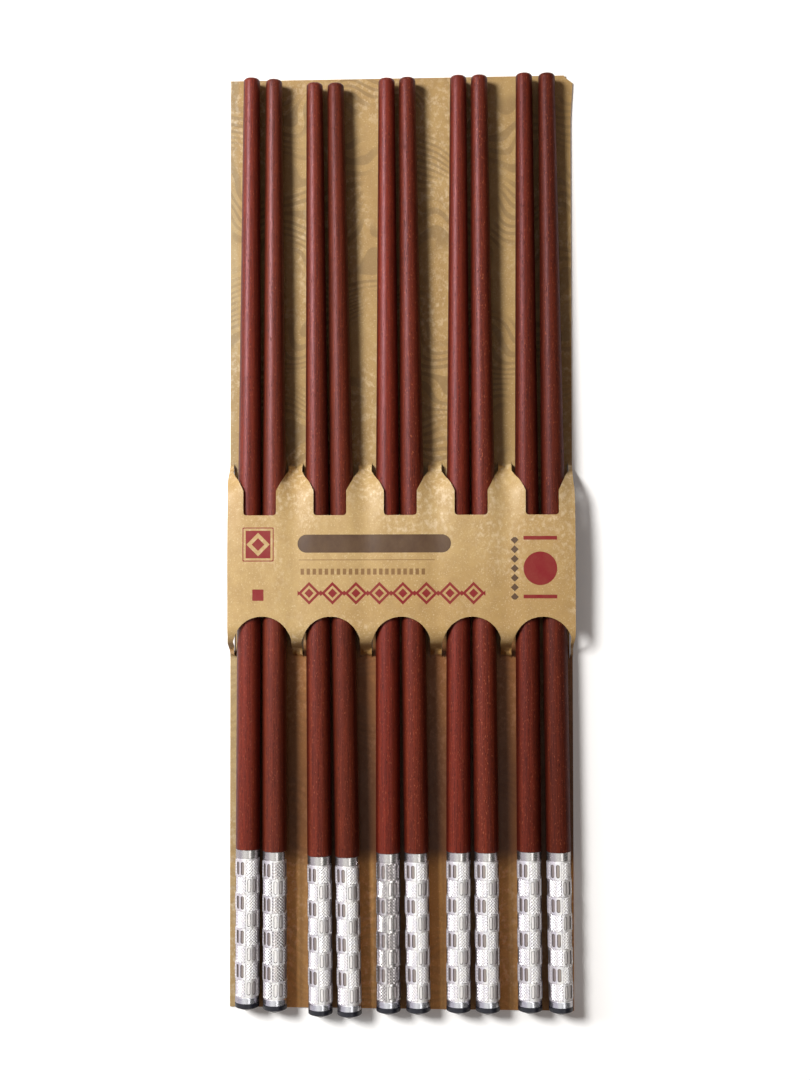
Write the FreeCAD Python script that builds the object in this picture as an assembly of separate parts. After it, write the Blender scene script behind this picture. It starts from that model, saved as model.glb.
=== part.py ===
"""Carded set of wooden chopsticks: five pairs held side by side on one die-cut kraft card.

Each chopstick is a tapered round wooden shaft with a turned-down tenon at its head end. A stamped
metal sleeve slides over the tenon up to the shaft's shoulder, and a black end plug with a shallow
cone closes the sleeve. The card is one sheet: between an upper and a lower cut for each pair it
bows forward as a band over the sticks, and the tabs inside the cuts stay behind them.

The set lies on the back of its card: +Z is up, +Y points to the eating tips, +X is to the right.
The origin is the bottom centre of the whole set. All sizes are in millimetres.
"""
import FreeCAD, Part
import math
import os

os.makedirs("parts", exist_ok=True)
V = FreeCAD.Vector

# ---------------------------------------------------------------- driving dimensions
# The chopstick's shaft
stick_length = 250.0        # cone point to eating tip
tip_diameter = 4.75
tip_rounding = 0.9
taper_length = 120.0        # from the tip to where the shaft is nearly straight
taper_diameter = 6.35       # at the end of the taper
shoulder_diameter = 6.5     # where the sleeve begins

# The metal sleeve on the head
sleeve_diameter = 6.35      # plain panels
sleeve_wall = 0.4
sleeve_rim_step = 0.05      # rims stand this much above the plain panels
shaft_rim_length = 2.6
plug_rim_length = 1.9
rim_groove_width = 0.3
rim_groove_depth = 0.1
row_count = 8
row_length = 4.5
panels_per_row = 6          # raised and plain panels by turns around the sleeve
panel_rise = 0.1
panel_gap = 0.12            # between neighbouring raised panels, round and along the sleeve
slots_per_panel = 2
slot_length = 3.3
slot_width = 0.75
slot_end_rise = 0.22        # bulge of each rounded slot end
slot_depth = 0.18
slot_pitch = 1.5            # between the two slots of a plain panel, around the sleeve

# The end plug
plug_flange_length = 1.3
plug_edge_rounding = 0.35
plug_cone_length = 1.2
plug_spigot_length = 5.0
joint_gap = 0.03            # glue line inside the sleeve, on the radius
tenon_end_gap = 0.4         # between the tenon and the plug's spigot

# The card
card_thickness = 0.45
side_margin_left = 1.6      # beside the outer windows
side_margin_right = 0.8
neck_width = 3.65           # between neighbouring windows
window_clearance = 0.49     # outside a pair, on each side
band_from_tips = 118.5      # from the card's tip end to the band's upper edge
band_depth = 26.8           # from the band's upper edge to the top of the lower arches
band_clearance = 0.1        # over the thickest stick under the band
band_crown = 0.35           # the band bows up this much at mid depth
upper_shoulder = 9.6        # the band stays level this far past its upper edge
lower_shoulder = 3.8        # and this far past the arches
upper_ramp_run = 3.0        # from the level band down to the lying sheet
lower_ramp_run = 6.0
foot_radius = 1.0
shoulder_radius = 6.0
crown_radius = 60.0
cut_corner_radius = 0.8
mouth_width = 8.66          # the narrow part of the upper cut
mouth_length = 6.4
flare_length = 4.2
arch_length = 7.2
arch_steps = 12             # points along an arch's curve
tab_kerf = 0.1              # between a tab and the cut that it came from
tab_root = 1.0              # overlap of a tab with the lying sheet that it belongs to

# How the pairs lie. Offsets are from the middle of the pair's window.
seat_gap = 0.05             # a sleeve's raised panels over the card
cutter_reach = 1.0          # cutting tools run this far past what they cut
# one row a pair: middle at tips, middle at heads, gap between tips, gap between heads
pair_lay = [
    (0.2, -0.2, 1.2, 0.9),
    (-1.9, 0.9, 0.8, 1.2),
    (-1.1, 0.4, 0.6, 1.4),
    (-0.5, 0.2, 0.7, 1.2),
    (-1.4, 0.6, 1.1, 1.6),
]
# one row a pair: how far the left and right tips stop short of the card's edge
tip_inset = [(0.0, 0.5), (1.6, 1.8), (0.7, 0.6), (0.3, 0.3), (0.0, 0.1)]
# one row a pair: turn of the left and right sleeves about their own axes, degrees
sleeve_turn = [(29, 24), (27, 30), (25, 30), (28, 32), (27, 38)]

# ---------------------------------------------------------------- sizes that follow
tip_radius = tip_diameter / 2
taper_radius = taper_diameter / 2
shoulder_radius_wood = shoulder_diameter / 2
sleeve_radius = sleeve_diameter / 2
rim_radius = sleeve_radius + sleeve_rim_step
bore_radius = sleeve_radius - sleeve_wall
inner_radius = bore_radius - joint_gap
panel_radius = sleeve_radius + panel_rise
head_radius = max(panel_radius, rim_radius)
sleeve_length = shaft_rim_length + row_count * row_length + plug_rim_length
sleeve_start = plug_cone_length + plug_flange_length
sleeve_end = sleeve_start + sleeve_length

axis_height = card_thickness + seat_gap + head_radius   # the sticks lie level, on their heads
band_height = axis_height + shoulder_radius_wood + band_clearance   # the band's under face

card_length = stick_length
card_top = card_length / 2
band_top = card_top - band_from_tips
band_bottom = band_top - band_depth


def shaft_diameter_at(y):
    share = min((card_top - y) / taper_length, 1)
    return tip_diameter + (taper_diameter - tip_diameter) * share


widest_gap = max((tip_gap + head_gap) / 2 for *_, tip_gap, head_gap in pair_lay)
window_width = 2 * (shaft_diameter_at(band_top) + window_clearance) + widest_gap
window_pitch = window_width + neck_width
pair_count = len(pair_lay)
card_width = (
    side_margin_left + (pair_count - 1) * window_pitch + window_width + side_margin_right
)
card_left = -card_width / 2
card_right = card_width / 2


def window_middle(pair):
    return card_left + side_margin_left + window_width / 2 + pair * window_pitch


# The sheet's under face along the set: lying, up the ramp, over the band and down again
level_top = band_top + upper_shoulder
level_bottom = band_bottom - lower_shoulder
band_middle = (level_top + level_bottom) / 2
foot_top = level_top + upper_ramp_run
foot_bottom = level_bottom - lower_ramp_run


# ---------------------------------------------------------------- helpers
def rounded_path(points, radii):
    """Edges through the points, with each inner corner rounded to its radius."""
    edges = []
    here = points[0]
    for before, corner, after, radius in zip(points, points[1:], points[2:], radii):
        inward = (corner - before).normalize()
        outward = (after - corner).normalize()
        turn = inward.getAngle(outward)
        if radius <= 0 or turn < 1e-6:
            continue
        reach = radius * math.tan(turn / 2)
        start = corner - inward * reach
        end = corner + outward * reach
        bisector = (outward - inward).normalize()
        middle = corner + bisector * (radius / math.cos(turn / 2) - radius)
        edges.append(Part.makeLine(here, start))
        edges.append(Part.Arc(start, middle, end).toShape())
        here = end
    edges.append(Part.makeLine(here, points[-1]))
    return edges


def face_of(edges):
    return Part.Face(Part.Wire(edges))


def turned(profile):
    """A solid of revolution about the Y axis from (radius, y) corners."""
    outline = Part.makePolygon([V(r, y, 0) for r, y in profile + profile[:1]])
    return Part.Face(outline).revolve(V(0, 0, 0), V(0, 1, 0), 360)


def edges_round(solid, y):
    """The closed edges of a turned solid that lie square to its axis at y."""
    return [e for e in solid.Edges if e.Closed and e.Curve.TypeId == "Part::GeomCircle"
            and math.isclose(e.Curve.Center.y, y)]


# ---------------------------------------------------------------- chopstick pieces
# Each is made with its axis on Y, the cone's point at the origin and the tip at +Y.
def make_shaft():
    shoulder = sleeve_end
    tenon_end = sleeve_start + plug_spigot_length + tenon_end_gap
    taper_start = stick_length - taper_length
    shaft = turned([
        (0, tenon_end),
        (inner_radius, tenon_end),
        (inner_radius, shoulder),
        (shoulder_radius_wood, shoulder),
        (taper_radius, taper_start),
        (tip_radius, stick_length),
        (0, stick_length),
    ])
    return shaft.makeFillet(tip_rounding, edges_round(shaft, stick_length))


def make_sleeve_tube():
    groove_floor = sleeve_radius - rim_groove_depth
    rows_start = sleeve_start + plug_rim_length
    rows_end = sleeve_end - shaft_rim_length
    outline = [
        (bore_radius, sleeve_start),
        (rim_radius, sleeve_start),
        (rim_radius, rows_start - rim_groove_width),
        (groove_floor, rows_start - rim_groove_width),
        (groove_floor, rows_start),
        (sleeve_radius, rows_start),
        (sleeve_radius, rows_end),
        (groove_floor, rows_end),
        (groove_floor, rows_end + rim_groove_width),
        (rim_radius, rows_end + rim_groove_width),
        (rim_radius, sleeve_end),
        (bore_radius, sleeve_end),
    ]
    return turned(outline), rows_start


def panel_sector(start_y, start_angle):
    """One raised panel: a curved plate that begins inside the tube's wall."""
    span = 2 * math.pi / panels_per_row - panel_gap / sleeve_radius
    root = sleeve_radius - sleeve_wall / 2
    low = start_angle + panel_gap / sleeve_radius / 2

    def at(radius, share):
        angle = low + span * share
        return V(radius * math.cos(angle), start_y + panel_gap / 2, radius * math.sin(angle))

    edges = [
        Part.makeLine(at(root, 0), at(panel_radius, 0)),
        Part.Arc(at(panel_radius, 0), at(panel_radius, 0.5), at(panel_radius, 1)).toShape(),
        Part.makeLine(at(panel_radius, 1), at(root, 1)),
        Part.Arc(at(root, 1), at(root, 0.5), at(root, 0)).toShape(),
    ]
    return face_of(edges).extrude(V(0, row_length - panel_gap, 0))


def slot_cutter(middle_y, angle):
    """A round-ended slot, sunk into the sleeve along its radius at the angle."""
    side = slot_width / 2
    end = slot_length / 2
    shoulder = end - slot_end_rise
    floor = sleeve_radius - slot_depth
    a, b = V(-side, -shoulder, 0), V(side, -shoulder, 0)
    c, d = V(side, shoulder, 0), V(-side, shoulder, 0)
    edges = [
        Part.Arc(a, V(0, -end, 0), b).toShape(),
        Part.makeLine(b, c),
        Part.Arc(c, V(0, end, 0), d).toShape(),
        Part.makeLine(d, a),
    ]
    cutter = face_of(edges).extrude(V(0, 0, slot_depth + cutter_reach))
    cutter.translate(V(0, middle_y, floor))
    cutter.rotate(V(0, 0, 0), V(0, 1, 0), 90 - math.degrees(angle))
    return cutter


def make_sleeve():
    tube, rows_start = make_sleeve_tube()
    panel_angle = 2 * math.pi / panels_per_row
    slot_angle = slot_pitch / sleeve_radius
    panels, slots = [], []
    for row in range(row_count):
        row_y = rows_start + row * row_length
        for place in range(panels_per_row):
            start = place * panel_angle
            if (place + row) % 2 == 0:
                panels.append(panel_sector(row_y, start))
                continue
            middle = start + panel_angle / 2
            for n in range(slots_per_panel):
                angle = middle + (n - (slots_per_panel - 1) / 2) * slot_angle
                slots.append(slot_cutter(row_y + row_length / 2, angle))
    return tube.fuse(panels).cut(slots)


def make_plug():
    body = turned([
        (0, 0),
        (rim_radius, plug_cone_length),
        (rim_radius, sleeve_start),
        (inner_radius, sleeve_start),
        (inner_radius, sleeve_start + plug_spigot_length),
        (0, sleeve_start + plug_spigot_length),
    ])
    return body.makeFillet(plug_edge_rounding, edges_round(body, plug_cone_length))


def lay_stick(pieces, tip_x, head_x, tip_y, turn):
    """Turn a stick's pieces about their axis and lay them on the card."""
    side = tip_x - head_x
    direction = V(side, math.sqrt(stick_length ** 2 - side ** 2), 0)
    head = V(tip_x, tip_y, axis_height) - direction
    placement = FreeCAD.Placement(head, FreeCAD.Rotation(V(0, 1, 0), direction))
    spin = FreeCAD.Placement(V(0, 0, 0), FreeCAD.Rotation(V(0, 1, 0), turn))
    laid = {}
    for name, shape in pieces.items():
        copy = shape.copy()
        copy.Placement = placement.multiply(spin)
        laid[name] = copy
    return laid, head.y


# ---------------------------------------------------------------- card
def sheet_profile():
    """The bent sheet's section, in the plane x = card_left."""
    under = [
        V(card_left, card_top, 0),
        V(card_left, foot_top, 0),
        V(card_left, level_top, band_height),
        V(card_left, band_middle, band_height + band_crown),
        V(card_left, level_bottom, band_height),
        V(card_left, foot_bottom, 0),
        V(card_left, -card_top, 0),
    ]
    bend = [-foot_radius, shoulder_radius, crown_radius, shoulder_radius, -foot_radius]
    over = []
    for n, point in enumerate(under):
        before = under[max(n - 1, 0)]
        after = under[min(n + 1, len(under) - 1)]
        arriving = (point - before) if n else (after - point)
        leaving = (after - point) if n < len(under) - 1 else arriving
        first = V(0, arriving.z, -arriving.y).normalize()
        second = V(0, leaving.z, -leaving.y).normalize()
        over.append(point + (first + second) * (card_thickness / (1 + first.dot(second))))
    under_edges = rounded_path(under, [abs(r) for r in bend])
    over_radii = [abs(r + card_thickness) for r in bend]
    over_edges = rounded_path(over, over_radii)
    ends = [Part.makeLine(under[0], over[0]), Part.makeLine(under[-1], over[-1])]
    return face_of(Part.__sortEdges__(under_edges + over_edges + ends))


def foot_reach(run):
    """How far before its ramp's corner the lying sheet begins to lift."""
    return foot_radius * math.tan(math.atan(band_height / run) / 2)


lift_top = foot_top + foot_reach(upper_ramp_run)
lift_bottom = foot_bottom - foot_reach(lower_ramp_run)


def upper_outline(middle, kerf, shift, root):
    """The upper cut: a narrow mouth that flares to the window's width, then two slits."""
    mouth = mouth_width / 2 - kerf
    wide = window_width / 2 - kerf
    end = band_top - shift + kerf
    flare = end + mouth_length
    half = [V(wide, root, 0), V(wide, flare + flare_length, 0), V(mouth, flare, 0), V(mouth, end, 0)]
    path = half + [V(-p.x, p.y, 0) for p in reversed(half)]
    edges = rounded_path(path, [cut_corner_radius] * len(path[1:-1]))
    edges.append(Part.makeLine(path[-1], path[0]))
    face = face_of(edges)
    face.translate(V(middle, 0, 0))
    return face


def lower_outline(middle, kerf, shift, root):
    """The lower cut: a half-elliptic arch with two slits down from its ends."""
    wide = window_width / 2 - kerf
    crown = band_bottom + shift - kerf
    spring = band_bottom + shift - arch_length
    arch_points = []
    for n in range(arch_steps + 1):
        angle = math.pi * n / arch_steps
        arch_points.append(V(wide * math.cos(angle), spring + (crown - spring) * math.sin(angle), 0))
    arch = Part.BSplineCurve()
    arch.interpolate(arch_points, InitialTangent=V(0, 1, 0), FinalTangent=V(0, -1, 0))
    right, left = V(wide, root, 0), V(-wide, root, 0)
    edges = [
        Part.makeLine(right, arch_points[0]),
        arch.toShape(),
        Part.makeLine(arch_points[-1], left),
        Part.makeLine(left, right),
    ]
    face = face_of(edges)
    face.translate(V(middle, 0, 0))
    return face


def make_card():
    """One sheet: bent over the pairs as a band, with a lying tab left behind in every cut."""
    sheet = sheet_profile().extrude(V(card_width, 0, 0))
    cut_top = band_height + band_crown + card_thickness + cutter_reach
    windows, tabs = [], []
    for pair in range(pair_count):
        middle = window_middle(pair)
        for outline, lift, level, side in (
            (upper_outline, lift_top, level_top, 1),
            (lower_outline, lift_bottom, level_bottom, -1),
        ):
            window = outline(middle, 0, 0, lift).extrude(V(0, 0, cut_top + cutter_reach))
            window.translate(V(0, 0, -cutter_reach))
            windows.append(window)
            run = abs(lift - level)
            slack = math.hypot(run, band_height) - run
            tab = outline(middle, tab_kerf, slack, lift + side * tab_root)
            tabs.append(tab.extrude(V(0, 0, card_thickness)))
    return sheet.cut(windows).fuse(tabs).removeSplitter()


# ---------------------------------------------------------------- assembly
stick_pieces = {"shaft": make_shaft(), "sleeve": make_sleeve(), "end_plug": make_plug()}
parts = {"card": make_card()}
reach_top, reach_bottom = card_top, -card_top
for pair, (tip_offset, head_offset, tip_gap, head_gap) in enumerate(pair_lay):
    middle = window_middle(pair)
    for n, side_name in enumerate(("left", "right")):
        side = 2 * n - 1
        tip_x = middle + tip_offset + side * (tip_gap + tip_diameter) / 2
        head_x = middle + head_offset + side * (head_gap / 2 + head_radius)
        tip_y = card_top - tip_inset[pair][n]
        turn = sleeve_turn[pair][n]
        laid, head_y = lay_stick(stick_pieces, tip_x, head_x, tip_y, turn)
        reach_top = max(reach_top, tip_y)
        reach_bottom = min(reach_bottom, head_y)
        for name, shape in laid.items():
            parts[f"pair_{pair + 1}_{side_name}_{name}"] = shape

to_origin = V(0, -(reach_top + reach_bottom) / 2, 0)
for name, shape in parts.items():
    shape.translate(to_origin)
    solid = shape.Solids[0]
    print(f"{name:28s} solids {len(shape.Solids)}  volume {shape.Volume:9.2f}  valid {solid.isValid()}")
    shape.exportStep(f"parts/{name}.step")
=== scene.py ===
"""Five pairs of turned wooden chopsticks with stamped metal heads, held on one die-cut kraft card.

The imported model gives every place. Each piece is made again here in finer detail, in millimetres
on its own axis, and is then laid in metres where its solid lies.
"""
import bpy
import bmesh
import math
import numpy as np
from mathutils import Matrix, Vector


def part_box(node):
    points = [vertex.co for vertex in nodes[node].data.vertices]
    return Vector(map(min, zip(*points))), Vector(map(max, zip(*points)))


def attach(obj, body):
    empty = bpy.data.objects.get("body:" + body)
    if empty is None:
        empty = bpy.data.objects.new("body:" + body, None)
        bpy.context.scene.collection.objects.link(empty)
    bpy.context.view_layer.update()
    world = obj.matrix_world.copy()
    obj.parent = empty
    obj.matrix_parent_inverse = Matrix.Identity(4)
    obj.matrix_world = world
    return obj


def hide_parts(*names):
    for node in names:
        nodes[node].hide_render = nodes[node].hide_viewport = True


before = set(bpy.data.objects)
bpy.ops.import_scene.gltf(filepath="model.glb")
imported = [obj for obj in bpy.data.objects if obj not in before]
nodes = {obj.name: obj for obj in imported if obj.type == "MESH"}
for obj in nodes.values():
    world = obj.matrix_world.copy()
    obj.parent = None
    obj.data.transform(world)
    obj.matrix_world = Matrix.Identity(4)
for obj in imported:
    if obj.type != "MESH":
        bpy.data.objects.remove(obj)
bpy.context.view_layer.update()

# ---------------------------------------------------------------- how the sticks lie
# Ten sticks in five pairs. Each stick's line is taken from its own solids: from the point of the
# plug's cone at the head to the middle of the flat at the eating tip. The card gives its edges.
mm = 0.001
stick_names = [f"pair_{pair}_{side}" for pair in range(1, 6) for side in ("left", "right")]
card_low, card_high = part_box("card")
card_left, card_right = card_low.x / mm, card_high.x / mm
card_bottom, card_top = card_low.y / mm, card_high.y / mm


def lay_of(stick):
    """The matrix that lays a piece made on the Y axis, cone point at the origin."""
    plug = [v.co for v in nodes[f"{stick}_end_plug"].data.vertices]
    shaft = [v.co for v in nodes[f"{stick}_shaft"].data.vertices]
    point = min(plug, key=lambda co: co.y)
    end = max(co.y for co in shaft)
    flat_end = [co for co in shaft if co.y > end - 0.05 * mm]
    tip = sum(flat_end, Vector()) / len(flat_end)
    along = Vector((0, 1, 0)).rotation_difference(tip - point)
    return Matrix.Translation(point) @ along.to_matrix().to_4x4() @ Matrix.Scale(mm, 4)


# ---------------------------------------------------------------- shafts
# Red-brown hardwood, turned to a long taper with a softened eating tip and a tenon inside the
# sleeve. Sanded and thinly varnished, so the open pores and short flecks of the grain still show.
shaft_steps = 48
tenon_start = 7.9
tenon_radius = 2.745
shoulder = 43.0
shoulder_radius = 3.25
shoulder_edge = 0.08
taper_start = 130.0
taper_rings = 42
taper_radius = 3.175
tip_end = 249.35
tip_radius = 2.2
tip_rounding = 0.9


def turned(profile, steps):
    """A closed solid of revolution about Y from (radius, y) points."""
    bm = bmesh.new()
    line = [bm.verts.new((radius, y, 0)) for radius, y in profile]
    edges = [bm.edges.new(pair) for pair in zip(line, line[1:])]
    bmesh.ops.spin(bm, geom=line + edges, cent=(0, 0, 0), axis=(0, 1, 0),
                   angle=math.tau, steps=steps, use_merge=True)
    bmesh.ops.remove_doubles(bm, verts=bm.verts, dist=1e-5)
    bmesh.ops.recalc_face_normals(bm, faces=bm.faces)
    return bm


def rounded_corner(radius, y, rounding, steps):
    """Points of a quarter round that ends on a flat facing +Y."""
    turns = [math.pi / 2 * n / steps for n in range(steps + 1)]
    return [(radius - rounding + rounding * math.cos(t), y - rounding + rounding * math.sin(t))
            for t in turns]


def make_piece(bm, name, material, sharp_angle=35):
    """A mesh object from a bmesh, smooth but for edges sharper than the angle."""
    mesh = bpy.data.meshes.new(name)
    bm.to_mesh(mesh)
    bm.free()
    mesh.shade_smooth()
    mesh.set_sharp_from_angle(angle=math.radians(sharp_angle))
    mesh.materials.append(material)
    piece = bpy.data.objects.new(name, mesh)
    bpy.context.scene.collection.objects.link(piece)
    return piece


def colour(red, green, blue):
    """A colour as it is seen on a screen, 0 to 255, made linear."""
    parts = [c / 255 for c in (red, green, blue)]
    return tuple(c / 12.92 if c < 0.04045 else ((c + 0.055) / 1.055) ** 2.4 for c in parts) + (1,)


def add(tree, kind, inputs=(), **settings):
    """A shader node with its settings, and its inputs set or linked."""
    made = tree.nodes.new(kind)
    for key, value in settings.items():
        setattr(made, key, value)
    for key, value in dict(inputs).items():
        if isinstance(value, bpy.types.NodeSocket):
            tree.links.new(value, made.inputs[key])
        else:
            made.inputs[key].default_value = value
    return made


def vector_math(tree, operation, a, b=(0, 0, 0), c=(0, 0, 0)):
    """The outputs of a vector maths node: 0 is the vector, "Value" a length or a dot product."""
    return add(tree, "ShaderNodeVectorMath", {0: a, 1: b, 2: c}, operation=operation).outputs


def noise_at(tree, position, stretch, detail=2.0, roughness=0.5, shift=(0, 0, 0)):
    """Noise over a position in metres, with that many features to the millimetre each way."""
    scaled = vector_math(tree, "MULTIPLY_ADD", position, [s / mm for s in stretch], shift)[0]
    made = add(tree, "ShaderNodeTexNoise", {"Vector": scaled, "Scale": 1.0, "Detail": detail,
                                            "Roughness": roughness})
    return made.outputs["Fac"]


def fade(tree, value, low, high, to_low=0.0, to_high=1.0):
    """The value run smoothly from to_low at low to to_high at high."""
    made = add(tree, "ShaderNodeMapRange", {"Value": value, "From Min": low, "From Max": high,
                                            "To Min": to_low, "To Max": to_high},
               interpolation_type="SMOOTHSTEP")
    return made.outputs["Result"]


def math_node(tree, operation, a, b=0.0):
    return add(tree, "ShaderNodeMath", {0: a, 1: b}, operation=operation).outputs[0]


def product(tree, value, *others):
    """All the values multiplied together."""
    for other in others:
        value = math_node(tree, "MULTIPLY", value, other)
    return value


def highest(tree, value, *others):
    """The greatest of the values."""
    for other in others:
        value = math_node(tree, "MAXIMUM", value, other)
    return value


def mixed(tree, factor, a, b, blend="MIX"):
    """Colour a, with b laid over it as far as the factor says."""
    made = add(tree, "ShaderNodeMix", {0: factor, 6: a, 7: b}, data_type="RGBA", blend_type=blend)
    return made.outputs[2]


def tinted(tree, base, tint):
    """A colour as it looks through a tint."""
    return mixed(tree, 1.0, base, tint, "MULTIPLY")


def facing_way(tree, axis):
    """How far the surface faces along an axis, from -1 to 1."""
    normal = add(tree, "ShaderNodeNewGeometry").outputs["Normal"]
    return add(tree, "ShaderNodeSeparateXYZ", {0: normal}).outputs[axis]


def new_material(name):
    """A material with its Principled shader and Object coordinates."""
    material = bpy.data.materials.new(name)
    material.use_nodes = True
    tree = material.node_tree
    place = add(tree, "ShaderNodeTexCoord").outputs["Object"]
    return material, tree, tree.nodes["Principled BSDF"], place


def grain_group():
    """Straight grain along Y: streaks, broad bands, light flecks, open pores and fine threads."""
    tree = bpy.data.node_groups.new("chopstick_grain", "ShaderNodeTree")
    tree.interface.new_socket("Position", in_out="INPUT", socket_type="NodeSocketVector")
    # features to the millimetre each way, detail, roughness, shift, where each starts and is full
    patterns = {"Streaks": ((3.2, 0.09, 3.2), 4.0, 0.65, (0, 0, 0), 0.3, 0.7),
                "Bands": ((0.8, 0.014, 0.8), 1.0, 0.5, (7, 3, 1), 0.3, 0.7),
                "Flecks": ((4.2, 1.15, 4.2), 1.0, 0.5, (31, 5, 8), 0.63, 0.74),
                "Pores": ((5.5, 0.8, 5.5), 1.0, 0.5, (2, 17, 41), 0.61, 0.70),
                "Threads": ((9.0, 0.22, 9.0), 2.0, 0.6, (12, 9, 23), 0.35, 0.65)}
    for name in patterns:
        tree.interface.new_socket(name, in_out="OUTPUT", socket_type="NodeSocketFloat")
    position = add(tree, "NodeGroupInput").outputs["Position"]
    out = add(tree, "NodeGroupOutput")
    for name, (stretch, detail, roughness, shift, start, full) in patterns.items():
        noise = noise_at(tree, position, stretch, detail, roughness, shift)
        tree.links.new(fade(tree, noise, start, full), out.inputs[name])
    return tree


chopstick_grain = grain_group()


def varnished_wood(name, deep, bright, fleck_share, varnish):
    """One stick's own board: deep and bright are the colours of its late and early wood, and
    varnish is how thick the coat lies. The side towards -X is painted a little darker and cooler:
    painted shade."""
    material, tree, shader, place = new_material(name)
    grain = add(tree, "ShaderNodeGroup", {}, node_tree=chopstick_grain)
    tree.links.new(place, grain.inputs["Position"])
    streaks, bands = grain.outputs["Streaks"], grain.outputs["Bands"]
    flecks, pores = grain.outputs["Flecks"], grain.outputs["Pores"]
    threads = grain.outputs["Threads"]
    share = math_node(tree, "ADD", product(tree, streaks, 0.55), product(tree, bands, 0.25))
    share = math_node(tree, "ADD", share, product(tree, threads, 0.20))
    wood = mixed(tree, share, deep, bright)
    wood = mixed(tree, product(tree, flecks, fleck_share), wood, colour(158, 84, 56))
    wood = mixed(tree, product(tree, pores, 0.6), wood, colour(30, 9, 6))
    # painted shade: the side facing -X is darkened and cooled in the colour
    painted_shade_flank = fade(tree, facing_way(tree, "X"), -0.60, -0.95)
    wood = mixed(tree, painted_shade_flank, wood, tinted(tree, wood, colour(176, 150, 160)))
    tree.links.new(wood, shader.inputs["Base Color"])
    polish = 0.4 * varnish
    gloss = math_node(tree, "ADD", fade(tree, threads, 0.0, 1.0, 0.54 - polish, 0.44 - polish),
                      product(tree, pores, 0.25))
    tree.links.new(gloss, shader.inputs["Roughness"])
    relief = math_node(tree, "SUBTRACT", product(tree, threads, 0.4), pores)
    bump = add(tree, "ShaderNodeBump", {"Height": relief, "Strength": 0.55, "Distance": 0.03 * mm})
    tree.links.new(bump.outputs["Normal"], shader.inputs["Normal"])
    shader.inputs["Specular IOR Level"].default_value = varnish
    shader.inputs["Specular Tint"].default_value = colour(255, 208, 222)
    return material


taper = [(taper_radius + (tip_radius - taper_radius) * n / taper_rings,
          taper_start + (tip_end - tip_rounding - taper_start) * n / taper_rings)
         for n in range(taper_rings + 1)]
shaft_profile = [(0, tenon_start), (tenon_radius, tenon_start), (tenon_radius, shoulder),
                 (shoulder_radius - shoulder_edge, shoulder),
                 (shoulder_radius, shoulder + shoulder_edge), *taper[:-1],
                 *rounded_corner(tip_radius, tip_end, tip_rounding, 6), (0, tip_end)]
# one row a stick, left to right: how red the board is, how light it is, how many flecks, how thick
# the varnish lies
boards = [(0.75, 1.00, 0.5, 0.30), (0.25, 1.00, 0.5, 0.30), (0.45, 1.02, 0.6, 0.28),
          (0.25, 0.88, 0.4, 0.20), (0.90, 1.03, 0.6, 0.28), (0.45, 0.93, 0.7, 0.22),
          (0.80, 1.00, 0.5, 0.26), (0.45, 0.98, 0.9, 0.24), (0.60, 0.82, 0.5, 0.20),
          (0.30, 0.72, 0.5, 0.16)]
for stick, (redness, lightness, fleck_share, varnish) in zip(stick_names, boards):
    deep = [c * lightness for c in colour(60 + 10 * redness, 24 - 3 * redness, 12 - redness)]
    bright = [c * lightness for c in colour(110 + 14 * redness, 48 - 6 * redness, 28 - 5 * redness)]
    material = varnished_wood(f"varnished_wood_{stick}", deep[:3] + [1], bright[:3] + [1],
                              fleck_share, varnish)
    bm = turned(shaft_profile, shaft_steps)
    bmesh.ops.transform(bm, matrix=lay_of(stick), verts=bm.verts)
    shaft = make_piece(bm, f"{stick}_turned_shaft", material)
    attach(shaft, "root")
    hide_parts(f"{stick}_shaft")

# ---------------------------------------------------------------- sleeves
# Thin bright aluminium tube, stamped in eight rows of six panels: plain panels with two sunk slots
# each, and raised panels with a fine diamond knurl, by turns. A plain rim closes each end.
sleeve_start = 2.5
sleeve_radius = 3.175
bore_radius = 2.775
rim_radius = 3.225
rim_edge = 0.12
plug_rim_length = 1.9
shaft_rim_length = 2.6
rim_groove_width = 0.3
rim_groove_depth = 0.1
row_count = 8
row_length = 4.5
panels_per_row = 6
panel_gap = 0.12
slot_length = 3.3
slot_width = 0.82
slot_depth = 0.18
slot_pitch = 1.5
slot_edge = 0.09
slot_floor = sleeve_radius - slot_depth
panel_root = 0.05          # the panels reach this far into the tube
panel_width = math.tau / panels_per_row * sleeve_radius
tube_steps = 72
# one turn a stick, left to right, about its own axis and in degrees
sleeve_turns = [29, 24, 27, 30, 25, 30, 28, 32, 27, 38]


def sleeve_tube():
    """The tube, thick at its two grooved rims and as thin as the slots' floors under the rows."""
    rows_start = sleeve_start + plug_rim_length
    rows_end = rows_start + row_count * row_length
    end = rows_end + shaft_rim_length
    groove = sleeve_radius - rim_groove_depth
    groove_start = rows_start - rim_groove_width
    groove_end = rows_end + rim_groove_width
    tube = turned([
        (bore_radius, sleeve_start), (rim_radius - rim_edge, sleeve_start),
        (rim_radius, sleeve_start + rim_edge), (rim_radius, groove_start - rim_edge),
        (rim_radius - rim_edge, groove_start), (groove, groove_start), (groove, rows_start),
        (slot_floor, rows_start), (slot_floor, rows_end), (groove, rows_end), (groove, groove_end),
        (rim_radius - rim_edge, groove_end), (rim_radius, groove_end + rim_edge),
        (rim_radius, end - rim_edge), (rim_radius - rim_edge, end), (bore_radius, end),
        (bore_radius, sleeve_start),
    ], tube_steps)
    # the tube shows in the slots as their floors (material 1), and its rims are material 2
    for face in tube.faces:
        middle = face.calc_center_median()
        radius = math.hypot(middle.x, middle.z)
        if rows_start < middle.y < rows_end and radius > bore_radius + 0.1:
            face.material_index = 1
        elif radius > groove:
            face.material_index = 2
    return tube


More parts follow.
